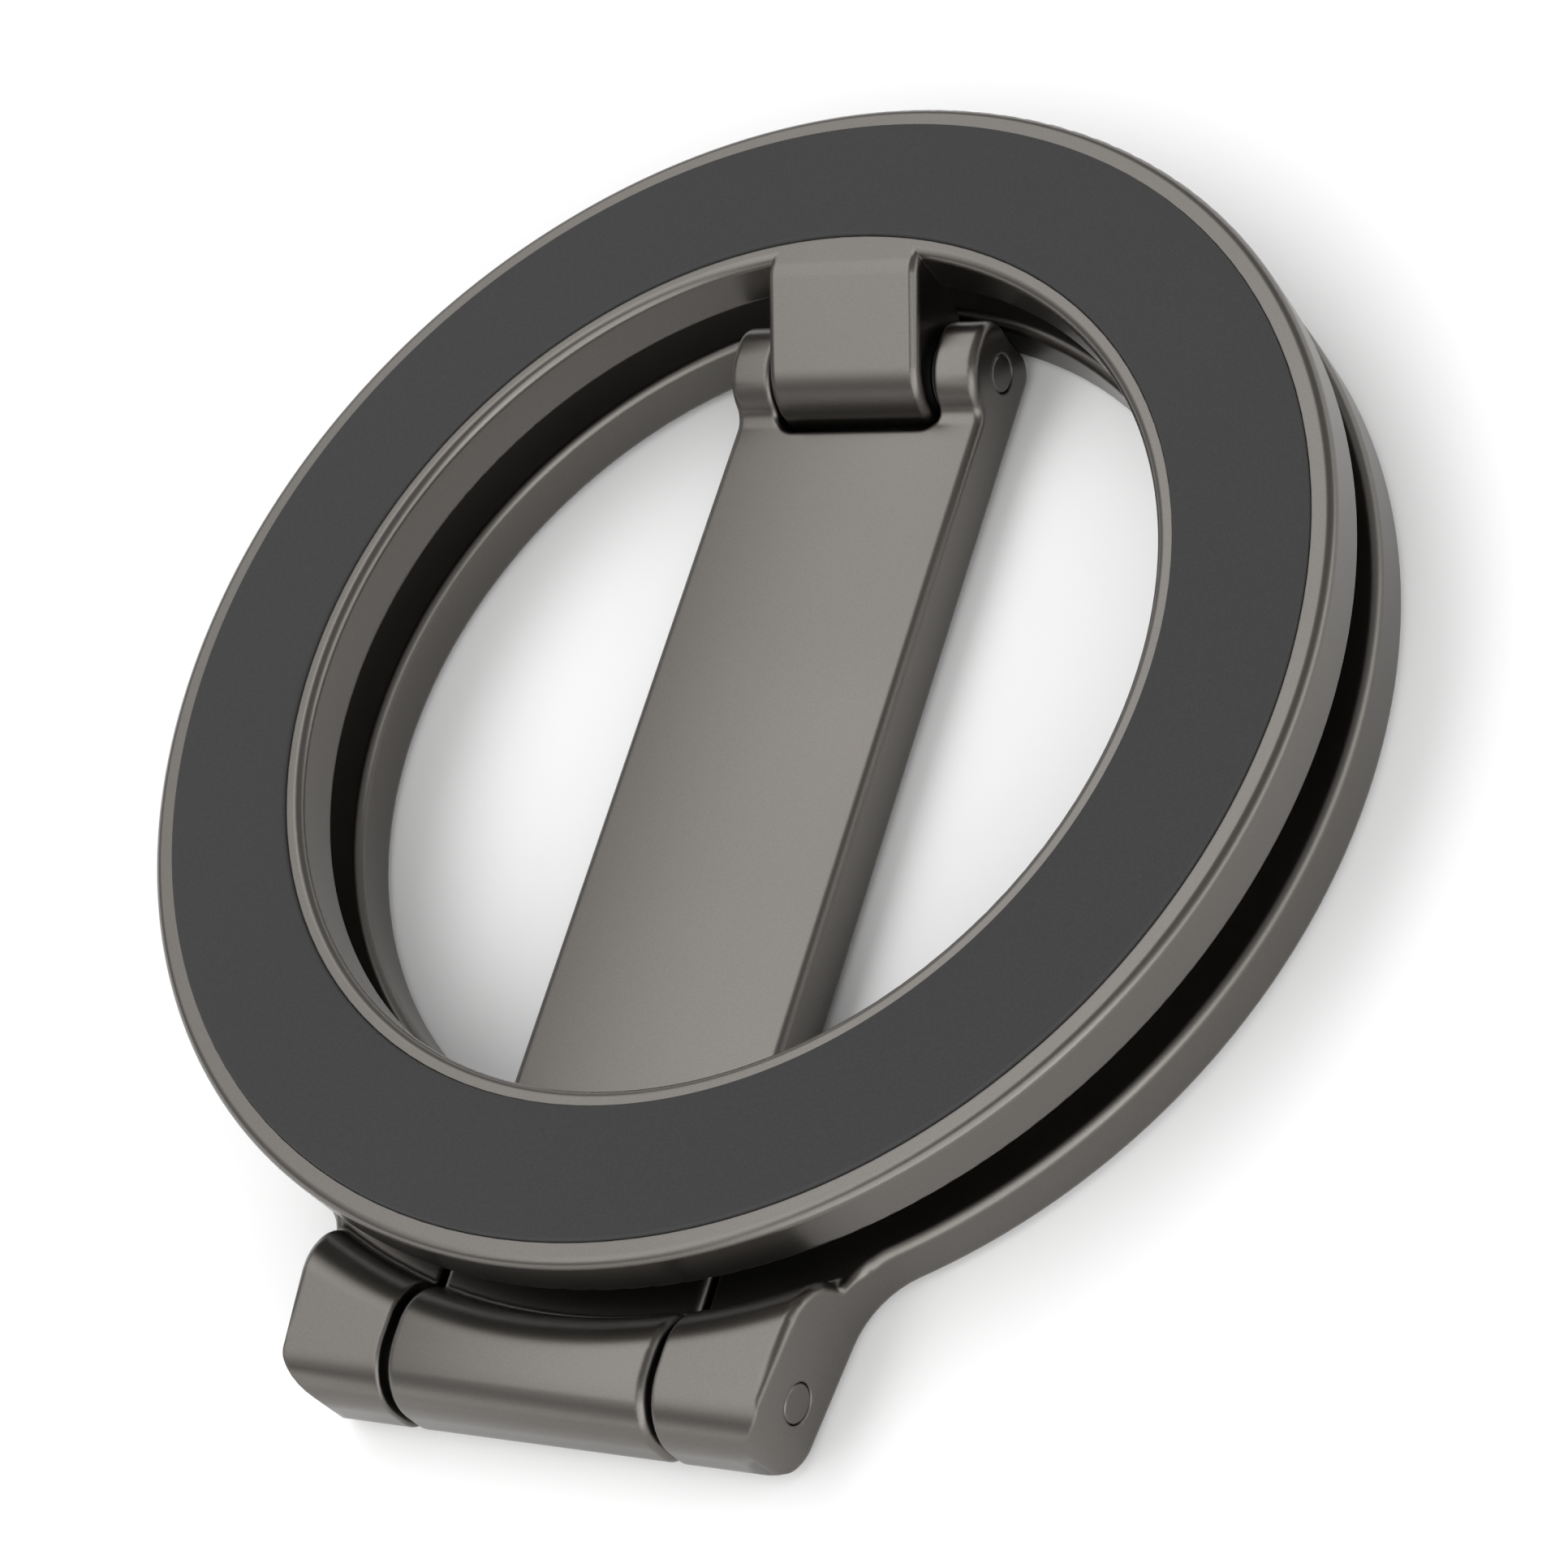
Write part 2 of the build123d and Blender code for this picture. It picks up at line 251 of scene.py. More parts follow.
class HolderStudio(bpy.types.PropertyGroup):
    """Sizes, colours and lights of the studio"""

    floor_colour: tint("Floor colour", "Colour of the pale floor", (0.86, 0.86, 0.86))
    floor_size: length("Floor size", "Length of one side of the floor", 4.0, 0.1)
    fill_light: brightness("Fill light", "Brightness of the studio away from its lights", 0.45)
    box_light: brightness("Box light", "Brightness of the soft box on the left", 2.2)
    strip_light: brightness("Strip light", "Brightness of the strip on the right", 1.4)
    wall_light: brightness("Wall light", "Brightness of the pale walls", 1.6)
    front_light: brightness("Front light", "Brightness of the broad light in front", 2.0)


class Value:
    """One output socket, with Python's operators standing for the nodes that work on it."""

    def __init__(self, shop, socket):
        self.shop = shop
        self.socket = socket

    def __add__(self, other):
        return self.shop.maths("ADD", self, other)

    __radd__ = __add__

    def __sub__(self, other):
        return self.shop.maths("SUBTRACT", self, other)

    def __rsub__(self, other):
        return self.shop.maths("SUBTRACT", other, self)

    def __mul__(self, other):
        return self.shop.maths("MULTIPLY", self, other)

    __rmul__ = __mul__

    def __truediv__(self, other):
        return self.shop.maths("DIVIDE", self, other)

    def __rtruediv__(self, other):
        return self.shop.maths("DIVIDE", other, self)


class Shop:
    """Makes the nodes of one material or world."""

    def __init__(self, owner):
        owner.use_nodes = True
        self.tree = owner.node_tree
        self.tree.nodes.clear()

    def node(self, kind, settings=None, inputs=None, output=0):
        """A node with its settings made first, then its sockets; gives one of its outputs."""
        made = self.tree.nodes.new(kind)
        for name, setting in (settings or {}).items():
            setattr(made, name, setting)
        for name, given in (inputs or {}).items():
            if isinstance(given, Value):
                self.tree.links.new(given.socket, made.inputs[name])
            else:
                made.inputs[name].default_value = given
        if not made.outputs:
            return None
        return Value(self, made.outputs[output])

    def maths(self, operation, *values):
        """A Math node on values and numbers."""
        return self.node("ShaderNodeMath", {"operation": operation}, dict(enumerate(values)))

    def axes(self, vector):
        """The three numbers of a vector, by the names of their axes."""
        split = self.node("ShaderNodeSeparateXYZ", None, {"Vector": vector})
        return dict(zip("xyz", (Value(self, socket) for socket in split.socket.node.outputs)))

    def place(self):
        """Place on the object, which stays with it as it moves."""
        return self.node("ShaderNodeTexCoord", output="Object")

    def noise(self, place, size, detail, roughness=0.5):
        """Noise from 0 to 1 with specks of one size, in metres."""
        return self.node(
            "ShaderNodeTexNoise",
            {"noise_dimensions": "3D"},
            {"Vector": place, "Scale": 1.0 / size, "Detail": detail, "Roughness": roughness},
        )

    def between(self, value, low, high):
        """0 at low and 1 at high, with a smooth rise between them."""
        return self.node(
            "ShaderNodeMapRange",
            {"interpolation_type": "SMOOTHSTEP"},
            {"Value": value, "From Min": low, "From Max": high},
        )

    def blend(self, share, first, second):
        """One colour at share 0, the other at share 1.

        The node has sockets of the same names for other types, so these go by number.
        """
        return self.node(
            "ShaderNodeMix",
            {"data_type": "RGBA"},
            {0: share, 6: first, 7: second},
            output=2,
        )

    def bump(self, height, depth, strength=1.0, **normal):
        """A surface normal tilted by a height from 0 to 1 that is so many metres deep."""
        inputs = {"Strength": strength, "Distance": depth, "Height": height, **normal}
        return self.node("ShaderNodeBump", None, inputs)

    def finish(self, shader, kind="ShaderNodeOutputMaterial"):
        """Ends the tree in its output."""
        self.node(kind, None, {"Surface": shader})


def colour(values, times=1.0):
    """Colour with alpha, lightened or darkened."""
    return (*[value * times for value in values], 1.0)


def speckled(shop, base, speck, shades):
    """A colour that a grain takes from its darker to its lighter shade."""
    share = shop.between(speck, *GRAIN_RANGE)
    return shop.blend(share, *[colour(base, shade) for shade in shades])


def satin_metal(name, base, roughness, grain, wear, crown=0.0):
    """Blasted and plated metal: a fine grain in its colour, gloss and surface.

    The wear is how far its edges look rounded. With a crown, the surface also falls away on
    both sides of the middle, across X.
    """
    material = bpy.data.materials.new(name)
    shop = Shop(material)
    place = shop.place()
    speck = shop.noise(place, grain, detail=3.0, roughness=0.6)
    cloud = shop.noise(place, METAL_CLOUD, detail=1.0)
    gloss = roughness + METAL_CLOUD_GLOSS * (cloud - 0.5) + METAL_GRAIN_GLOSS * (speck - 0.5)
    worn = shop.node("ShaderNodeBevel", {"samples": WEAR_RAYS}, {"Radius": wear})
    surface = shop.bump(speck, METAL_DEPTH, METAL_STRENGTH, Normal=worn)
    if crown:
        across = shop.axes(place)["x"] / ARM_HALF_WIDTH
        surface = shop.bump(-1.0 * across * across, crown, Normal=surface)
    shader = shop.node(
        "ShaderNodeBsdfPrincipled",
        None,
        {
            "Base Color": speckled(shop, base, speck, METAL_SHADES),
            "Metallic": 1.0,
            "Roughness": gloss,
            "Normal": surface,
        },
    )
    shop.finish(shader)
    return material


def soft_rubber(name, base, roughness, grain):
    """Matte soft skin with a fine even grain."""
    material = bpy.data.materials.new(name)
    shop = Shop(material)
    place = shop.place()
    speck = shop.noise(place, grain, detail=2.0)
    cloud = shop.noise(place, SKIN_CLOUD, detail=1.0)
    shader = shop.node(
        "ShaderNodeBsdfPrincipled",
        None,
        {
            "Base Color": speckled(shop, base, speck, SKIN_SHADES),
            "Roughness": roughness + SKIN_CLOUD_GLOSS * cloud,
            "Specular IOR Level": 0.35,
            "Normal": shop.bump(speck, SKIN_DEPTH, SKIN_STRENGTH),
        },
    )
    shop.finish(shader)
    return material


def packed(name):
    """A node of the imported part."""
    if name not in NODES:
        raise RuntimeError(f"the packed part has no {name}")
    return NODES[name]


def dress(kinds, material):
    """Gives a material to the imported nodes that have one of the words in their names."""
    names = [name for name in NODES if any(kind in name for kind in kinds)]
    if not names:
        raise RuntimeError(f"the packed part has nothing named {' or '.join(kinds)}")
    for name in names:
        data = packed(name).data
        data.materials.clear()
        data.materials.append(material)


def linked(name, data):
    """A new object in the scene."""
    made = bpy.data.objects.new(name, data)
    bpy.context.scene.collection.objects.link(made)
    return made


def settle(piece, node, body, material):
    """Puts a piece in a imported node's place, on its body, with its finish and material."""
    piece.data.materials.append(material)
    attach(piece, body)
    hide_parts(node)


def unit(vectors):
    """Vectors brought to length 1."""
    lengths = np.linalg.norm(vectors, axis=-1, keepdims=True)
    return vectors / np.maximum(lengths, 1e-30)


def dot(first, second):
    """Row by row product of two lists of vectors."""
    return (first * second).sum(-1)


def bend(first, second):
    """Angles between two lists of directions."""
    return np.arccos(np.clip(dot(first, second), -1, 1))


def after(sides):
    """The next side of the same triangle."""
    return sides // 3 * 3 + (sides + 1) % 3


def joined(pairs, count):
    """A number for each of count things, the same for all that the pairs link."""
    label = np.arange(count)
    while True:
        lowest = np.minimum(label[pairs[:, 0]], label[pairs[:, 1]])
        new = label.copy()
        np.minimum.at(new, pairs[:, 0], lowest)
        np.minimum.at(new, pairs[:, 1], lowest)
        new = new[new]
        if (new == label).all():
            return label
        label = new


def picked(corners, middles, which):
    """Triangles made of the corners (0 to 2) and side middles (3 to 5) of others."""
    return np.concatenate([corners, middles], axis=1)[:, which]


def on_rounds(points):
    """Points moved onto the nearest of the rounds."""
    away = points - (0, RING_AXIS_Y, 0)
    radius = np.hypot(away[:, 0], away[:, 1])
    middle, level, size = np.array(ROUNDS).T
    out, up = radius[:, None] - middle, away[:, 2, None] - level
    far = np.hypot(out, up)
    nearest = abs(far - size).argmin(1)
    rows = np.arange(len(points))
    stretch = size[nearest] / far[rows, nearest]
    across = (middle[nearest] + out[rows, nearest] * stretch) / radius
    height = level[nearest] + up[rows, nearest] * stretch
    moved = np.stack([away[:, 0] * across, away[:, 1] * across, height], 1)
    return moved + (0, RING_AXIS_Y, 0)


class Skin:
    """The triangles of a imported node, welded and given a normal for every corner.

    Sides are numbered through all triangles, three to each, and side k starts at corner k.
    """

    def __init__(self, mesh):
        places = np.empty(len(mesh.vertices) * 3)
        mesh.vertices.foreach_get("co", places)
        places = places.reshape(-1, 3)
        cells = np.round(places / WELD).astype(np.int64)
        _, kept, merged = np.unique(cells, axis=0, return_index=True, return_inverse=True)
        mesh.calc_loop_triangles()
        corners = np.empty(len(mesh.loop_triangles) * 3, np.int64)
        mesh.loop_triangles.foreach_get("vertices", corners)
        triangles = merged.ravel()[corners].reshape(-1, 3)
        whole = (triangles != np.roll(triangles, -1, axis=1)).all(1)
        self.points = places[kept]
        self.triangles = triangles[whole]

    def twins(self):
        """For each side, the neighbour's side along the same edge, or -1, and the edge."""
        start = self.triangles.ravel()
        end = np.roll(self.triangles, -1, axis=1).ravel()
        edge = np.minimum(start, end) * len(self.points) + np.maximum(start, end)
        order = np.argsort(edge, kind="stable")
        ordered = edge[order]
        first = np.flatnonzero(np.r_[True, ordered[1:] != ordered[:-1]])
        shared = np.diff(np.r_[first, len(edge)]) == 2
        one, other = order[first[shared]], order[first[shared] + 1]
        twin = np.full(len(edge), -1)
        twin[one], twin[other] = other, one
        return twin, edge

    def crosses(self, triangles):
        """Cross products of two sides: along the normal, and twice as long as the area."""
        a, b, c = (self.points[triangles[:, k]] for k in range(3))
        return np.cross(b - a, c - a)

    def rounds(self):
        """Which triangles lie on a round, and the round's own normals at their corners.

        A level triangle lies on none, though its corners may touch one.
        """
        away = self.points[self.triangles] - (0, RING_AXIS_Y, 0)
        radius = np.hypot(away[..., 0], away[..., 1])
        flat = unit(self.crosses(self.triangles))
        leaning = abs(flat[:, 2]) < math.cos(LEVEL_BEND)
        found = np.zeros(len(self.triangles), bool)
        normals = np.zeros(away.shape)
        for middle, level, size in ROUNDS:
            out, up = radius - middle, away[..., 2] - level
            on = (abs(np.hypot(out, up) - size) < ON_ROUND).all(1)
            share = out / np.maximum(radius, WELD)
            normal = np.stack([away[..., 0] * share, away[..., 1] * share, up], -1)
            on &= leaning & (dot(normal, flat[:, None]) > 0).all(1)
            normals[on] = unit(normal[on])
            found |= on
        return found, normals

    def turn_edges(self):
        """Turns edges between two triangles where that bends the surface less."""
        while self.turn_some_edges():
            pass

    def turn_some_edges(self):
        """One go at turning edges, none next to another; gives how many.

        An edge runs from a to b, with c and d across from it on its two sides, and once
        turned it runs from c to d. Edges along which a round ends stay as they are.
        """
        twin, edge = self.twins()
        on_round, _ = self.rounds()
        normals = unit(self.crosses(self.triangles))
        one = np.flatnonzero(twin > np.arange(len(twin)))
        other = twin[one]
        start = self.triangles.ravel()
        a, b = start[one], start[other]
        c, d = start[after(after(one))], start[after(after(other))]
        around = [after(one), after(after(one)), after(other), after(after(other))]
        turned = [np.stack([a, d, c], 1), np.stack([d, b, c], 1)]
        crosses = [self.crosses(triangle) for triangle in turned]
        new_edge = np.minimum(c, d) * len(self.points) + np.maximum(c, d)

        free = (c != d) & np.all([twin[side] >= 0 for side in around], axis=0)
        free &= on_round[one // 3] == on_round[other // 3]
        free &= ~np.isin(new_edge, edge)
        for cross in crosses:
            free &= np.linalg.norm(cross, axis=1) > LEAST_CROSS

        left, right = unit(crosses[0]), unit(crosses[1])
        bc, ca, ad, db = (normals[twin[side] // 3] for side in around)
        here, there = normals[one // 3], normals[other // 3]
        before = bend(here, there) + bend(here, bc) + bend(here, ca)
        before += bend(there, ad) + bend(there, db)
        now = bend(left, right) + bend(left, ad) + bend(left, ca)
        now += bend(right, db) + bend(right, bc)
        gain = np.where(free, before - now, 0)

        worth = np.flatnonzero(gain > LEVEL_BEND)
        worth = worth[np.argsort(-gain[worth])]
        near = np.stack([one // 3, other // 3, *[twin[side] // 3 for side in around]], 1)
        busy = np.zeros(len(self.triangles), bool)
        made = set()
        for k in worth:
            if busy[near[k]].any() or new_edge[k] in made:
                continue
            busy[near[k]] = True
            made.add(new_edge[k])
            self.triangles[one[k] // 3] = turned[0][k]
            self.triangles[other[k] // 3] = turned[1][k]
        return len(made)

    def cut_rounds_finer(self):
        """Cuts the triangles of the rounds finer, with the new points on the rounds.

        A side is cut where both its triangles lie on a round, so the triangles along the end
        of a round have one or two cut sides and the others three.
        """
        twin, _ = self.twins()
        on_round, _ = self.rounds()
        here = np.arange(len(twin))
        split = (twin >= 0) & on_round[here // 3] & on_round[twin // 3]
        lead = np.flatnonzero(split & (here < twin))
        start = self.triangles.ravel()
        middle = (self.points[start[lead]] + self.points[start[after(lead)]]) / 2
        number = np.full(len(twin), -1)
        number[lead] = len(self.points) + np.arange(len(lead))
        number[twin[lead]] = number[lead]
        self.points = np.concatenate([self.points, on_rounds(middle)])

        number = number.reshape(-1, 3)
        cuts = (number >= 0).sum(1)
        made = [self.triangles[cuts == 0]]
        whole = self.triangles[cuts == 3], number[cuts == 3]
        made += [picked(*whole, [k, 3 + k, 3 + (k + 2) % 3]) for k in range(3)]
        made.append(whole[1])
        for k in range(3):
            turned = np.roll(self.triangles, -k, axis=1), np.roll(number, -k, axis=1)
            first = turned[1][:, 0] >= 0
            once = first & (cuts == 1)
            made += [picked(turned[0][once], turned[1][once], s) for s in ((0, 3, 2), (3, 1, 2))]
            twice = first & (turned[1][:, 1] >= 0) & (cuts == 2)
            parts = (3, 1, 4), (0, 3, 4), (0, 4, 2)
            made += [picked(turned[0][twice], turned[1][twice], s) for s in parts]
        self.triangles = np.concatenate(made)

    def smooth(self):
        """Works out the normal at each corner, split where faces meet at an edge.

        Where a round is among the faces that meet, its own normal counts alone. Elsewhere
        the widest planes set the normal, so that they stay flat up to their edges.
        """
        cross = self.crosses(self.triangles)
        flat = unit(cross)
        twin, _ = self.twins()
        one = np.flatnonzero(twin > np.arange(len(twin)))
        other = twin[one]
        level = bend(flat[one // 3], flat[other // 3]) < LEVEL_BEND
        plane = joined(np.stack([one[level] // 3, other[level] // 3], 1), len(flat))
        area = np.linalg.norm(cross, axis=1)
        area = np.repeat(np.bincount(plane, area, len(flat))[plane], 3)

        on_round, round_normals = self.rounds()
        lean = np.repeat(flat[:, None], 3, axis=1)
        lean[on_round] = round_normals[on_round]
        lean = lean.reshape(-1, 3)
        soft = bend(lean[one], lean[after(other)]) < SMOOTH_BEND
        soft &= bend(lean[after(one)], lean[other]) < SMOOTH_BEND
        one, other = one[soft], other[soft]
        ends = [np.stack([one, after(other)], 1), np.stack([after(one), other], 1)]
        group = joined(np.concatenate(ends), len(twin))

        place = self.points[self.triangles]
        ahead = np.roll(place, -1, axis=1) - place
        back = np.roll(place, 1, axis=1) - place
        weight = np.linalg.norm(np.cross(ahead, back), axis=-1)
        weight = (weight / (dot(ahead, ahead) * dot(back, back))).ravel()
        widest = np.zeros(len(twin))
        np.maximum.at(widest, group, area)
        weight[area < widest[group] / 2] = 0
        sure = np.repeat(on_round, 3)
        ruled = np.zeros(len(twin), bool)
        np.logical_or.at(ruled, group, sure)
        weight = np.where(ruled[group], sure, weight)
        total = np.zeros((len(twin), 3))
        np.add.at(total, group, lean * weight[:, None])
        self.normals = unit(total[group])

    def piece(self, name):
        """The skin as an object of its own."""
        mesh = bpy.data.meshes.new(name)
        mesh.from_pydata(self.points.tolist(), [], self.triangles.tolist(), shade_flat=False)
        mesh.normals_split_custom_set(self.normals.tolist())
        return linked(name, mesh)


def metal_piece(name, node, body, material):
    """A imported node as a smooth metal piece."""
    skin = Skin(packed(node).data)
    skin.turn_edges()
    for _ in range(TIMES_FINER):
        skin.cut_rounds_finer()
        skin.turn_edges()
    skin.smooth()
    settle(skin.piece(name), node, body, material)


def round_axis(radius, height, turn):
    """A place beside the rings' axis; turn 0 looks away from the lower hinge."""
    return (radius * math.sin(turn), RING_AXIS_Y + radius * math.cos(turn), height)


def node_points(node):
    """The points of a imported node."""
    return np.array([vertex.co for vertex in packed(node).data.vertices])


def extent(node):
    """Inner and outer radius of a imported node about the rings' axis, and its lowest and highest."""
    points = node_points(node)
    radius = np.hypot(points[:, 0], points[:, 1] - RING_AXIS_Y)
    height = points[:, 2]
    return [float(value) for value in (radius.min(), radius.max(), height.min(), height.max())]


def half_opening(node):
    """Half the width of a packed ring's opening at the lower hinge."""
    points = node_points(node)
    return float(abs(points[points[:, 1] < 0, 0]).min())


def corner_turns(steps):
    """Angles from 0 to a right angle, in equal steps."""
    return [k / steps * math.pi / 2 for k in range(steps + 1)]


def round_profile(inner, outer, low, high, corner, drop, steps):
    """Section of a soft ring, as radius and height.

    Its upper corners are rounded, and its face is crowned: level in the middle, and lower by
    the drop at both corners.
    """
    profile = [(inner, low)]
    for turn in corner_turns(steps):
        across, up = 1 - math.cos(turn), 1 - math.sin(turn)
        profile.append((inner + corner * across, high - drop - corner * up))
    width = outer - inner - 2 * corner
    for k in range(1, steps):
        share = k / steps
        rise = 4 * share * (1 - share)
        profile.append((inner + corner + share * width, high - drop * (1 - rise)))
    for turn in corner_turns(steps):
        across, up = 1 - math.sin(turn), 1 - math.cos(turn)
        profile.append((outer - corner * across, high - drop - corner * up))
    profile.append((outer, low))
    return profile


def swept(name, sections, closed):
    """A skin through sections with the same number of points; open ends are capped."""
    count = len(sections[0])
    points = [point for section in sections for point in section]
    faces = []
    for k in range(len(sections) if closed else len(sections) - 1):
        here, there = k * count, (k + 1) % len(sections) * count
        for side in range(count):
            beside = (side + 1) % count
            faces.append((here + side, there + side, there + beside, here + beside))
    if not closed:
        faces.append(range(count))
        faces.append(range(len(points) - 1, len(points) - 1 - count, -1))
    mesh = bpy.data.meshes.new(name)
    mesh.from_pydata(points, [], faces, shade_flat=False)
    mesh.set_sharp_from_angle(angle=SMOOTH_BEND)
    return linked(name, mesh)


def phone_pad(corner, crown, material):
    """The soft pad: a flat ring with rounded edges and a face that is a little crowned."""
    profile = round_profile(*extent("head_pad"), corner, crown, PAD_CORNER_STEPS)
    sections = []
    for k in range(PAD_SECTIONS):
        turn = -k / PAD_SECTIONS * math.tau
        sections.append([round_axis(radius, height, turn) for radius, height in profile])
    pad = swept("phone_pad", sections, closed=True)
    settle(pad, "head_pad", "head", material)


def soft_foot(corner, crown, material):
    """The soft foot: a ring open at the arm, rounded round its lower face and at its ends.

    Its sections are worked out upside down, as the rounded face looks down. Each has its
    share of the way round, how far it stays back from the end, and how far its face is
    lifted there.
    """
    inner, outer, low, high = extent("base_foot")
    opening = half_opening("base_foot") + corner
    turns = corner_turns(FOOT_END_STEPS)
    ends = [(corner * (1 - math.sin(turn)), corner * (1 - math.cos(turn))) for turn in turns]
    stations = [(0.0, back, lift) for back, lift in reversed(ends)]
    stations += [(k / FOOT_SECTIONS, 0.0, 0.0) for k in range(1, FOOT_SECTIONS)]
    stations += [(1.0, back, lift) for back, lift in ends]
    sections = []
    for share, back, lift in stations:
        profile = round_profile(inner, outer, -high, -low - lift, corner, crown, FOOT_CORNER_STEPS)
        section = []
        for radius, depth in profile:
            half_open = math.asin((opening - back) / radius)
            start, stop = math.pi + half_open, 3 * math.pi - half_open
            section.append(round_axis(radius, -depth, start + share * (stop - start)))
        sections.append(section)
    foot = swept("soft_foot", sections, closed=False)
    settle(foot, "base_foot", "base", material)


def gunmetal(name, finish, wear, crown=0.0):
    """The satin gunmetal of the rings and the arm."""
    look = finish.metal_colour, finish.metal_roughness, finish.metal_grain
    return satin_metal(name, *look, wear, crown)


class HOLDER_OT_base(bpy.types.Operator):
    """Makes the base ring with the outer knuckles of the lower hinge"""

    bl_idname = "holder.base"
    bl_label = "Base ring"

    def execute(self, context):
        finish = context.scene.holder_finish
        metal = gunmetal("satin_gunmetal", finish, finish.hinge_wear)
        metal_piece("base_body", "base_ring", "base", metal)
        return {"FINISHED"}


class HOLDER_OT_arm(bpy.types.Operator):
    """Makes the flat arm with its middle knuckle and its two ears"""

    bl_idname = "holder.arm"
    bl_label = "Arm"

    def execute(self, context):
        finish = context.scene.holder_finish
        metal = gunmetal("crowned_gunmetal", finish, finish.hinge_wear, finish.arm_crown)
        metal_piece("arm_body", "arm", "arm", metal)
        return {"FINISHED"}


class HOLDER_OT_head(bpy.types.Operator):
    """Makes the head ring with its hinge tab"""

    bl_idname = "holder.head"
    bl_label = "Head ring"

    def execute(self, context):
        finish = context.scene.holder_finish
        metal = gunmetal("crisp_gunmetal", finish, finish.rim_wear)
        metal_piece("head_body", "head_ring", "head", metal)
        return {"FINISHED"}


class HOLDER_OT_pins(bpy.types.Operator):
    """Finishes both hinge pins"""

    bl_idname = "holder.pins"
    bl_label = "Hinge pins"

    def execute(self, context):
        finish = context.scene.holder_finish
        look = finish.pin_colour, finish.metal_roughness, finish.metal_grain
        dress(["pin"], satin_metal("pin_steel", *look, context.scene.holder_inside.wear))
        return {"FINISHED"}


class HOLDER_OT_steel(bpy.types.Operator):
    """Finishes the slit sleeves round the pins and the yoke ring under the magnets"""

    bl_idname = "holder.steel"
    bl_label = "Sleeves and yoke"

    def execute(self, context):
        inside = context.scene.holder_inside
        look = inside.steel_colour, inside.steel_roughness, inside.grain
        dress(["sleeve", "yoke"], satin_metal("spring_steel", *look, inside.wear))
        return {"FINISHED"}


class HOLDER_OT_washers(bpy.types.Operator):
    """Finishes the washers in the gaps of both hinges"""

    bl_idname = "holder.washers"
    bl_label = "Washers"

    def execute(self, context):
        inside = context.scene.holder_inside
        look = inside.washer_colour, inside.washer_roughness, inside.grain
        dress(["washer"], soft_rubber("washer_plastic", *look))
        return {"FINISHED"}


class HOLDER_OT_magnets(bpy.types.Operator):
    """Finishes the magnets under the pad"""

    bl_idname = "holder.magnets"
    bl_label = "Magnets"

    def execute(self, context):
        inside = context.scene.holder_inside
        look = inside.magnet_colour, inside.magnet_roughness, inside.grain
        dress(["magnet"], satin_metal("magnet_nickel", *look, inside.wear))
        return {"FINISHED"}


class HOLDER_OT_films(bpy.types.Operator):
    """Finishes the adhesive films that hold the pad and the foot"""

    bl_idname = "holder.films"
    bl_label = "Adhesive films"

    def execute(self, context):
        inside = context.scene.holder_inside
        look = inside.film_colour, inside.film_roughness, inside.grain
        dress(["film"], soft_rubber("adhesive_film", *look))
        return {"FINISHED"}


class HOLDER_OT_pad(bpy.types.Operator):
    """Makes the soft pad in the face of the head ring"""

    bl_idname = "holder.pad"
    bl_label = "Pad"

    def execute(self, context):
        finish, shape = context.scene.holder_finish, context.scene.holder_shape
        look = finish.pad_colour, finish.pad_roughness, finish.pad_grain
        phone_pad(shape.pad_round, shape.pad_crown, soft_rubber("pad_skin", *look))
        return {"FINISHED"}


class HOLDER_OT_foot(bpy.types.Operator):
    """Makes the soft foot under the base ring"""

    bl_idname = "holder.foot"
    bl_label = "Foot"

    def execute(self, context):
        finish, shape = context.scene.holder_finish, context.scene.holder_shape
        look = finish.foot_colour, finish.foot_roughness, finish.foot_grain
        soft_foot(shape.foot_round, shape.foot_crown, soft_rubber("foot_rubber", *look))
        return {"FINISHED"}


def pale_floor(size, base):
    """The floor, which keeps the holder's shadow and is looked at as white."""
    half = size / 2
    mesh = bpy.data.meshes.new("floor")
    corners = [(-half, -half, 0), (half, -half, 0), (half, half, 0), (-half, half, 0)]
    mesh.from_pydata(corners, [], [range(len(corners))])
    material = bpy.data.materials.new("pale_floor")
    shop = Shop(material)
    seen = [shop.node("ShaderNodeLightPath", output=name) for name in SEEN_BY]
    share = reduce(lambda one, other: shop.maths("MAXIMUM", one, other), seen)
    paper = shop.blend(share, colour(base), colour(base, FLOOR_SEEN))
    shop.finish(shop.node("ShaderNodeBsdfDiffuse", None, {"Color": paper}))
    mesh.materials.append(material)
    linked("floor", mesh)


def lit(sky, axes, edges):
    """How much of a light is seen in each direction: 1 inside all of its edges."""
    return reduce(mul, [sky.between(axes[axis], dark, full) for axis, dark, full in edges])


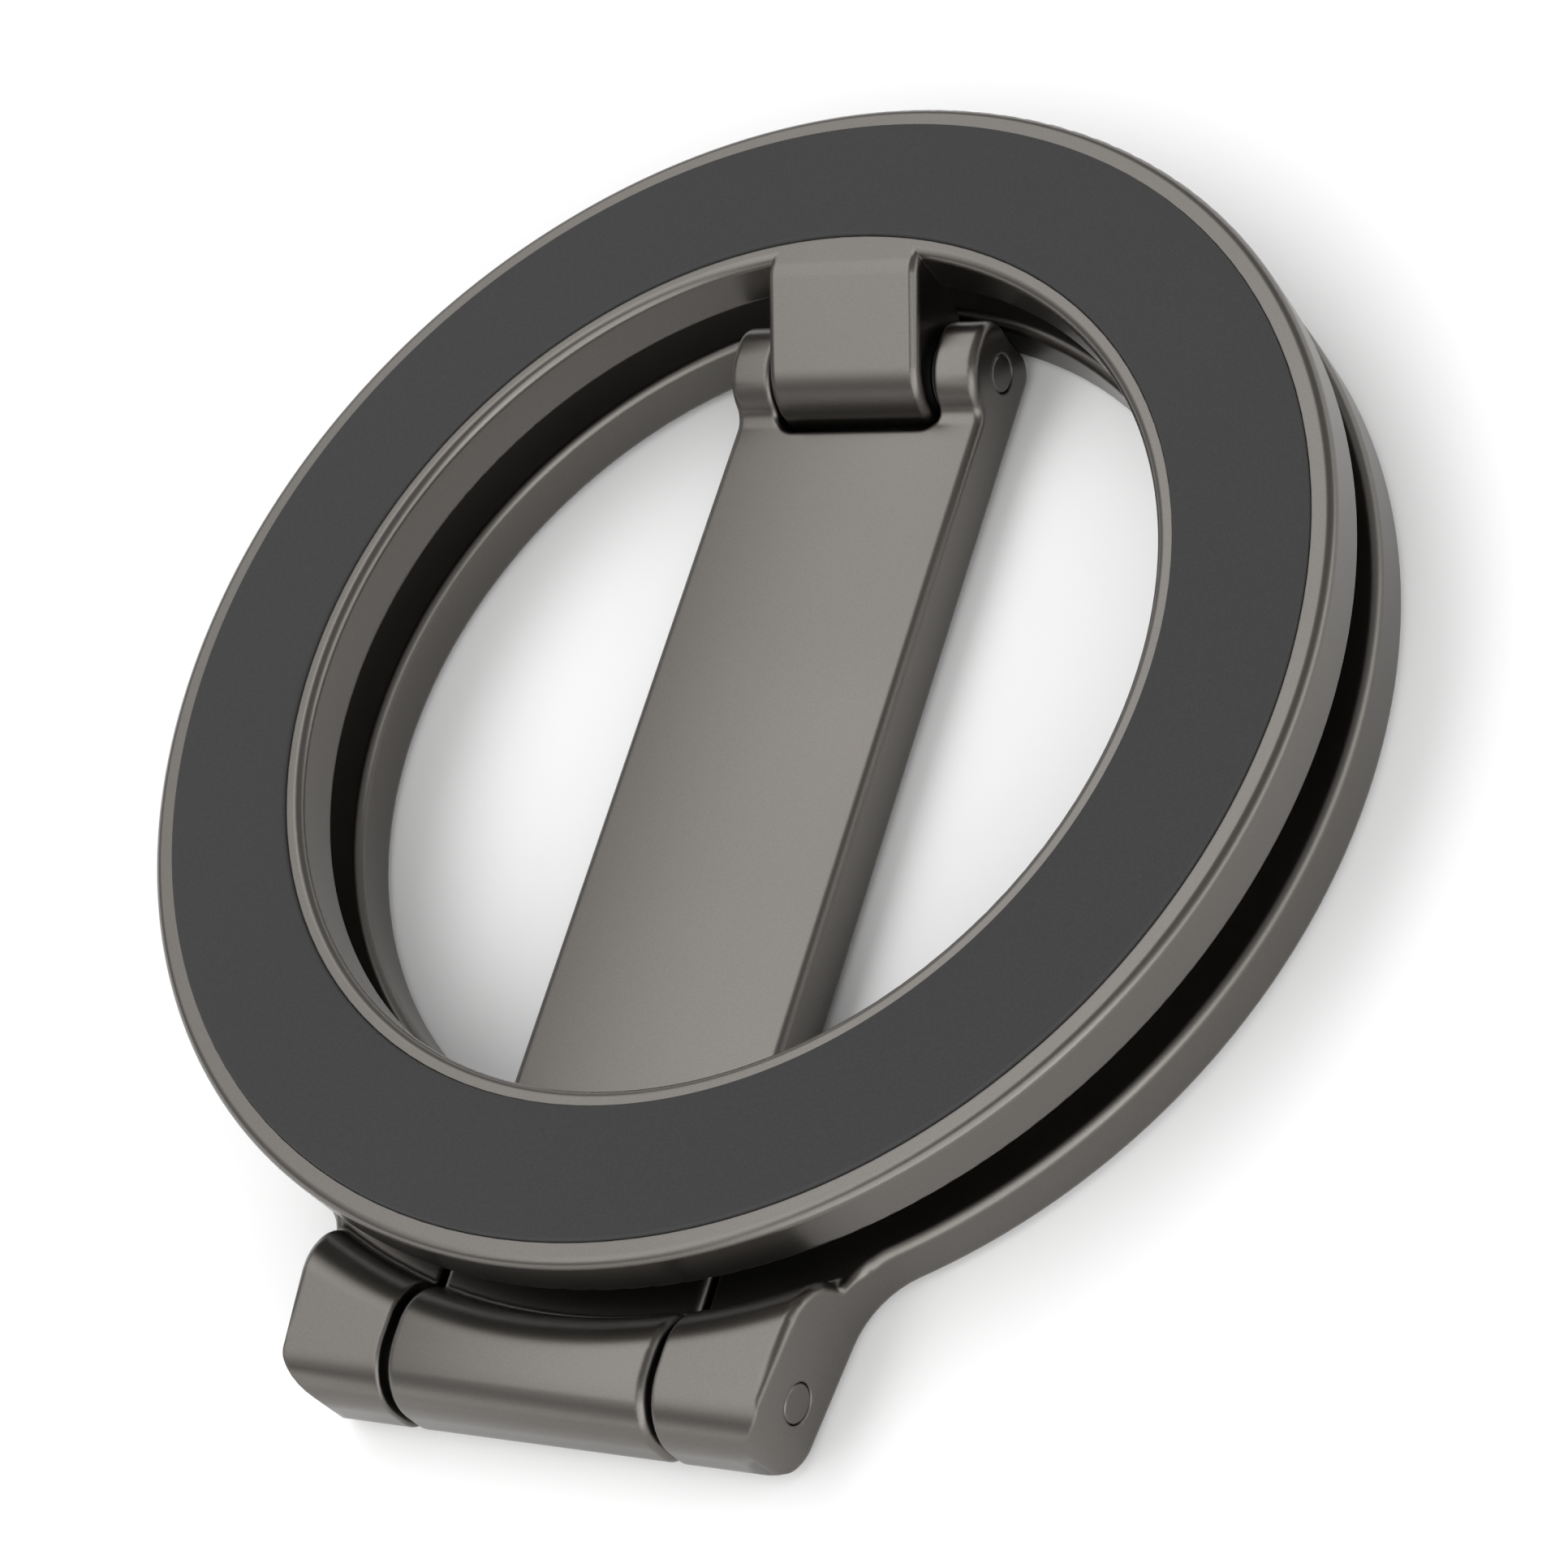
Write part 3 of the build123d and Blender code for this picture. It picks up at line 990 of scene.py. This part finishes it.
def soft_light(studio):
    """The studio's light, as a world that is brighter in some directions.

    A soft box hangs high on the left, a strip stands low on the right, a broad light in
    front, and the walls are pale up to a low height.
    """
    world = bpy.data.worlds.new("studio_world")
    sky = Shop(world)
    towards = sky.node("ShaderNodeTexCoord", output="Generated")
    axes = sky.axes(towards)
    along = sky.node(
        "ShaderNodeVectorMath",
        {"operation": "DOT_PRODUCT"},
        {0: towards, 1: FRONT_AIM},
        output="Value",
    )
    level = studio.fill_light + studio.box_light * lit(sky, axes, BOX_EDGES)
    level += studio.strip_light * lit(sky, axes, STRIP_EDGES)
    level += studio.wall_light * lit(sky, axes, WALL_EDGES)
    level += studio.front_light * sky.between(along, FRONT_DARK, FRONT_FULL)
    white = colour((1.0, 1.0, 1.0))
    glow = sky.node("ShaderNodeBackground", None, {"Color": white, "Strength": level})
    sky.finish(glow, "ShaderNodeOutputWorld")
    return world


def photo_camera():
    """The camera of the photograph."""
    view = bpy.data.cameras.new("camera")
    view.sensor_width = CAMERA_SENSOR_MM
    view.lens = CAMERA_LENS_MM
    view.clip_start = 1 * MM
    camera = linked("camera", view)
    level = math.cos(CAMERA_HIGH)
    back = Vector(
        (level * math.sin(CAMERA_ROUND), -level * math.cos(CAMERA_ROUND), math.sin(CAMERA_HIGH))
    )
    upright = back.to_track_quat("Z", "Y")
    turned = upright @ Quaternion((0, 0, 1), CAMERA_TURN)
    place = Matrix.Translation(CAMERA_AIM + CAMERA_DISTANCE * back)
    camera.matrix_world = place @ turned.to_matrix().to_4x4()
    return camera


class HOLDER_OT_studio(bpy.types.Operator):
    """Sets up the pale floor, the soft light and the camera of the photograph"""

    bl_idname = "holder.studio"
    bl_label = "Studio"

    def execute(self, context):
        scene = context.scene
        studio = scene.holder_studio
        pale_floor(studio.floor_size, studio.floor_colour)
        scene.world = soft_light(studio)
        scene.camera = photo_camera()
        scene.view_settings.view_transform = "Standard"
        return {"FINISHED"}


class HOLDER_PT_panel(bpy.types.Panel):
    """Lists the holder's pieces, and the sizes and colours of each group"""

    bl_idname = "HOLDER_PT_panel"
    bl_label = "Ring holder"
    bl_space_type = "VIEW_3D"
    bl_region_type = "UI"
    bl_category = "Ring Holder"

    def draw(self, context):
        for operator in OPERATORS:
            self.layout.operator(operator.bl_idname)
        for group in GROUPS:
            values = getattr(context.scene, group)
            for name in values.bl_rna.properties.keys():
                if name not in ("rna_type", "name"):
                    self.layout.prop(values, name)


GROUPS = {
    "holder_finish": HolderFinish,
    "holder_shape": HolderShape,
    "holder_inside": HolderInside,
    "holder_studio": HolderStudio,
}
OPERATORS = (
    HOLDER_OT_base,
    HOLDER_OT_arm,
    HOLDER_OT_head,
    HOLDER_OT_pins,
    HOLDER_OT_steel,
    HOLDER_OT_washers,
    HOLDER_OT_magnets,
    HOLDER_OT_films,
    HOLDER_OT_pad,
    HOLDER_OT_foot,
    HOLDER_OT_studio,
)
CLASSES = (*GROUPS.values(), *OPERATORS, HOLDER_PT_panel)


def register():
    for made in CLASSES:
        bpy.utils.register_class(made)
    for name, group in GROUPS.items():
        setattr(bpy.types.Scene, name, bpy.props.PointerProperty(type=group))


def unregister():
    for name in GROUPS:
        delattr(bpy.types.Scene, name)
    for made in reversed(CLASSES):
        bpy.utils.unregister_class(made)


def main():
    """Builds the looks piece by piece."""
    register()
    bpy.ops.holder.base()
    bpy.ops.holder.arm()
    bpy.ops.holder.head()
    bpy.ops.holder.pins()
    bpy.ops.holder.steel()
    bpy.ops.holder.washers()
    bpy.ops.holder.magnets()
    bpy.ops.holder.films()
    bpy.ops.holder.pad()
    bpy.ops.holder.foot()
    bpy.ops.holder.studio()


if __name__ == "__main__":
    main()
